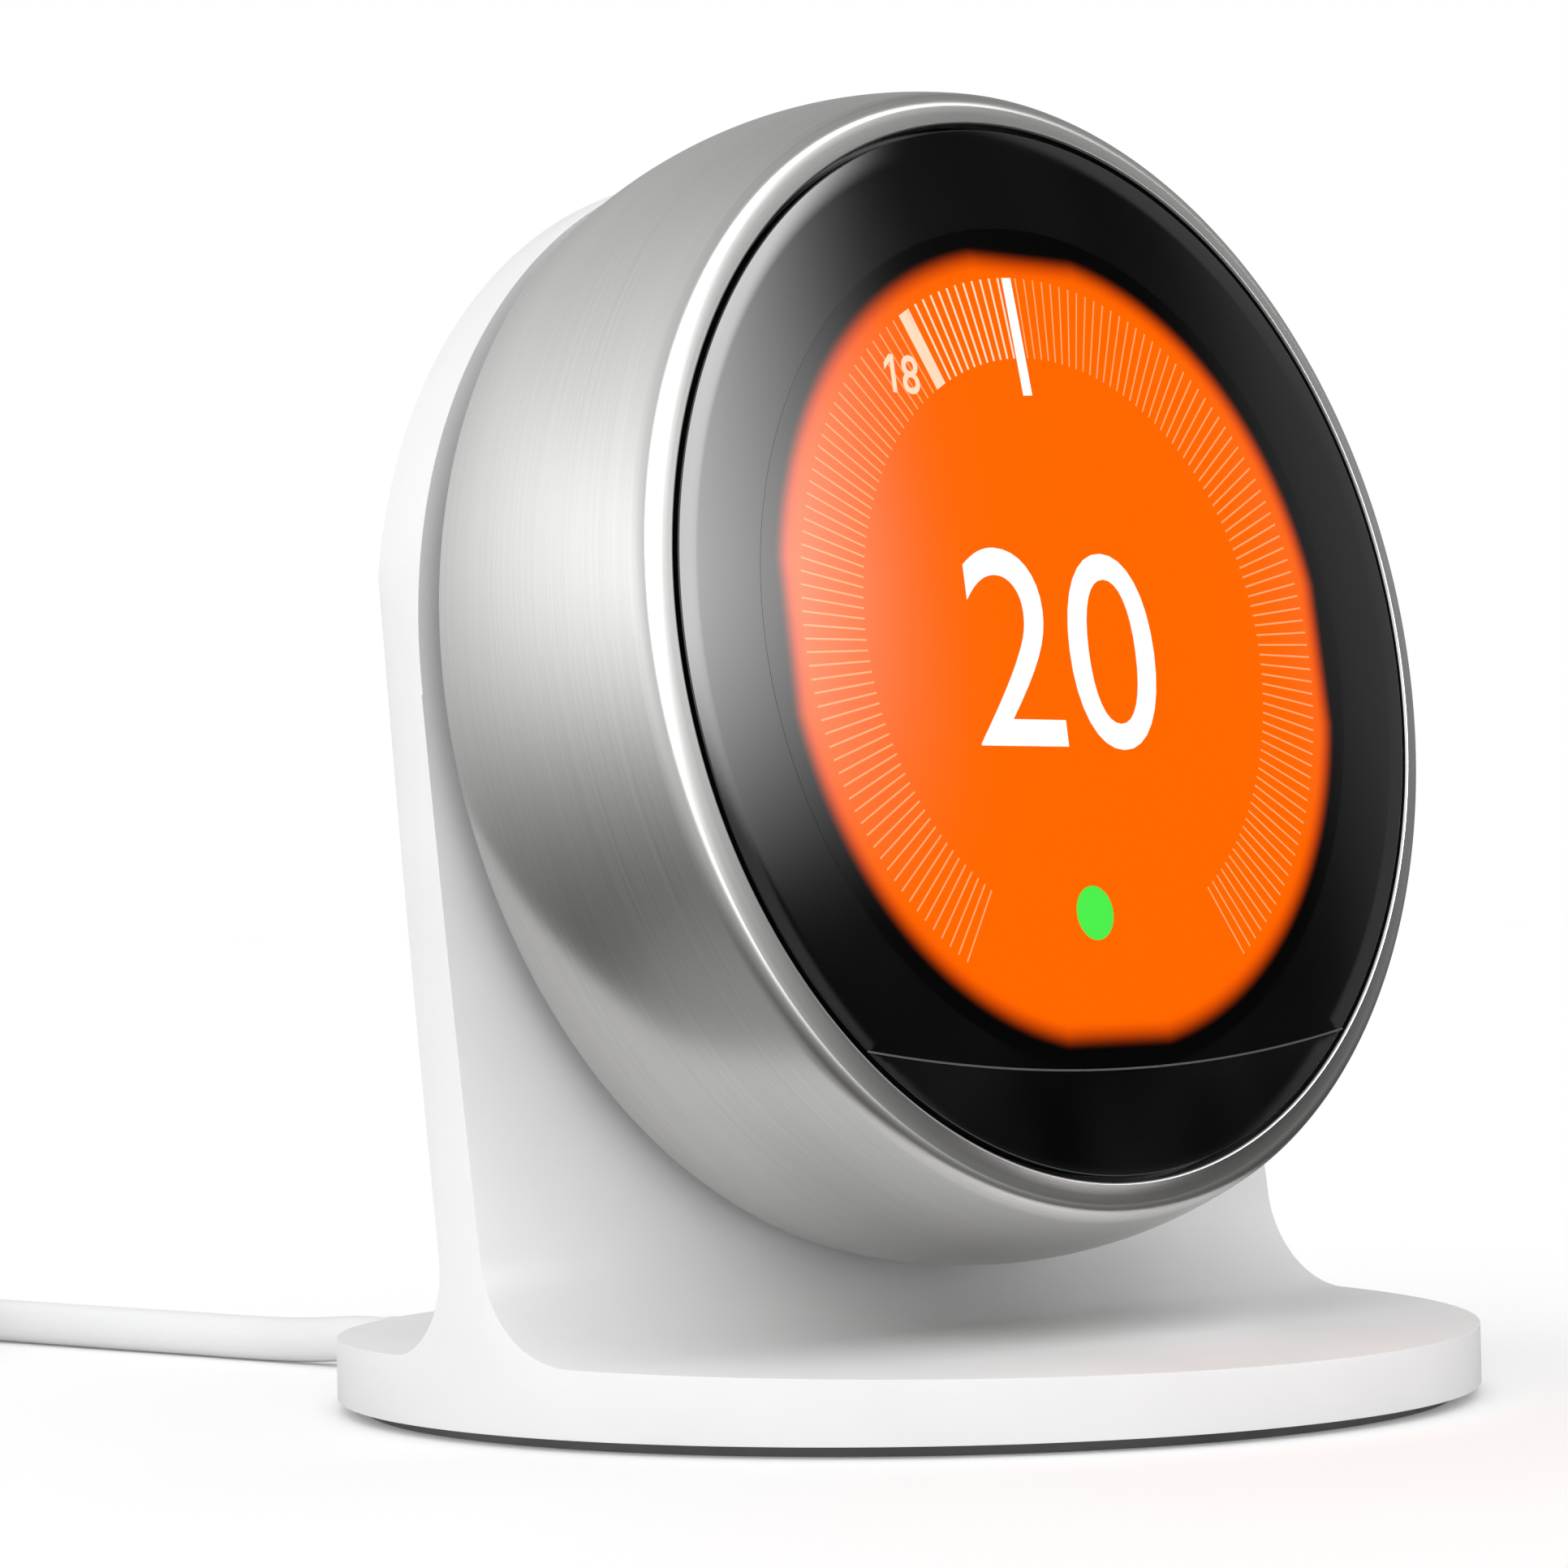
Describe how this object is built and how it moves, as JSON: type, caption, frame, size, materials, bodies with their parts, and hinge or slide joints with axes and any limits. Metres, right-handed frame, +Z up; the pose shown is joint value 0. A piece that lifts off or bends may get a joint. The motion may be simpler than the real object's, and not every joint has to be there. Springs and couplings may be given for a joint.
{
  "type": "dial thermostat on a table stand",
  "caption": "Round dial thermostat with a turning metal ring and a colour face, docked on a white table stand with a low-voltage supply cord",
  "frame": {"origin": "middle of the foot's underside, on the table", "axes": "+X to the right as seen from the front, +Y to the back (the face looks along -Y, leaning back), +Z up"},
  "size_m": [0.106, 0.1785, 0.0934],
  "materials": {
    "stand_plastic": "white, fine satin",
    "ballast_steel": "zinc-plated sheet",
    "base_plastic": "light grey, moulded",
    "pad_rubber": "grey silicone",
    "screw_steel": "plated",
    "black_plastic": "black, moulded",
    "circuit_board": "green solder mask",
    "cord_jacket": "white, smooth, soft",
    "plug_metal": "nickel-plated sheet",
    "case_plastic": "dark grey, moulded",
    "battery_wrap": "blue shrink film",
    "panel_orange": "lit colour display",
    "ribbon_film": "amber film",
    "lens_black": "polished black",
    "window_black": "polished, smoke tinted",
    "ring_steel": "stainless, brushed round"
  },
  "bodies": {
    "stand": {"stand_shell": "stand_plastic", "back_cover": "stand_plastic", "ballast_plate": "ballast_steel", "bottom_plate": "base_plastic", "grip_pad": "pad_rubber", "foot_screws": "screw_steel", "supply_lead": "black_plastic", "dock_base": "base_plastic", "dock_board": "circuit_board", "dock_socket": "black_plastic", "dock_screws": "screw_steel", "latch_grommets": "pad_rubber", "cord_boot": "cord_jacket", "cord_run": "cord_jacket", "cord_coil": "cord_jacket", "cord_tail": "cord_jacket", "plug_body": "cord_jacket", "plug_shell": "plug_metal", "plug_tongue": "black_plastic"},
    "display": {"rear_case": "case_plastic", "latch_posts": "screw_steel", "main_board": "circuit_board", "board_screws": "screw_steel", "display_plug": "black_plastic", "shield_cans": "plug_metal", "battery_pack": "battery_wrap", "buzzer": "black_plastic", "switch_body": "black_plastic", "guide_posts": "screw_steel", "return_springs": "screw_steel"},
    "plunger": {"switch_plunger": "base_plastic"},
    "face": {"face_frame": "case_plastic", "frame_gasket": "pad_rubber", "backlight": "base_plastic", "display_panel": "panel_orange", "panel_ribbon": "ribbon_film", "face_lens": "lens_black", "sensor_window": "window_black", "sensor_board": "circuit_board", "motion_sensor": "plug_metal", "light_sensor": "black_plastic", "ring_reader": "black_plastic", "snap_ring": "screw_steel"},
    "ring": {"ring_shell": "ring_steel", "ring_liner": "case_plastic", "encoder_band": "black_plastic"}
  },
  "joints": [
    {"name": "display_pull", "type": "slide", "parent": "stand", "child": "display", "axis": [0, -0.9898, 0.1426], "range_m": [0, 0.03]},
    {"name": "face_press", "type": "slide", "parent": "display", "child": "face", "axis": [0, 0.9898, -0.1426], "range_m": [0, 0.0006], "stiffness_N_per_m": 4000, "springref_m": -0.0004, "deforming": ["return_springs"]},
    {"name": "switch_travel", "type": "slide", "parent": "display", "child": "plunger", "axis": [0, 0.9898, -0.1426], "range_m": [0, 0.0006]},
    {"name": "ring_turn", "type": "hinge", "parent": "face", "child": "ring", "pos_m": [0, -0.0167, 0.0532], "axis": [0, -0.9898, 0.1426], "continuous": true}
  ],
  "couplings": [
    {"joint": "switch_travel", "follows": "face_press", "ratio": 1}
  ]
}
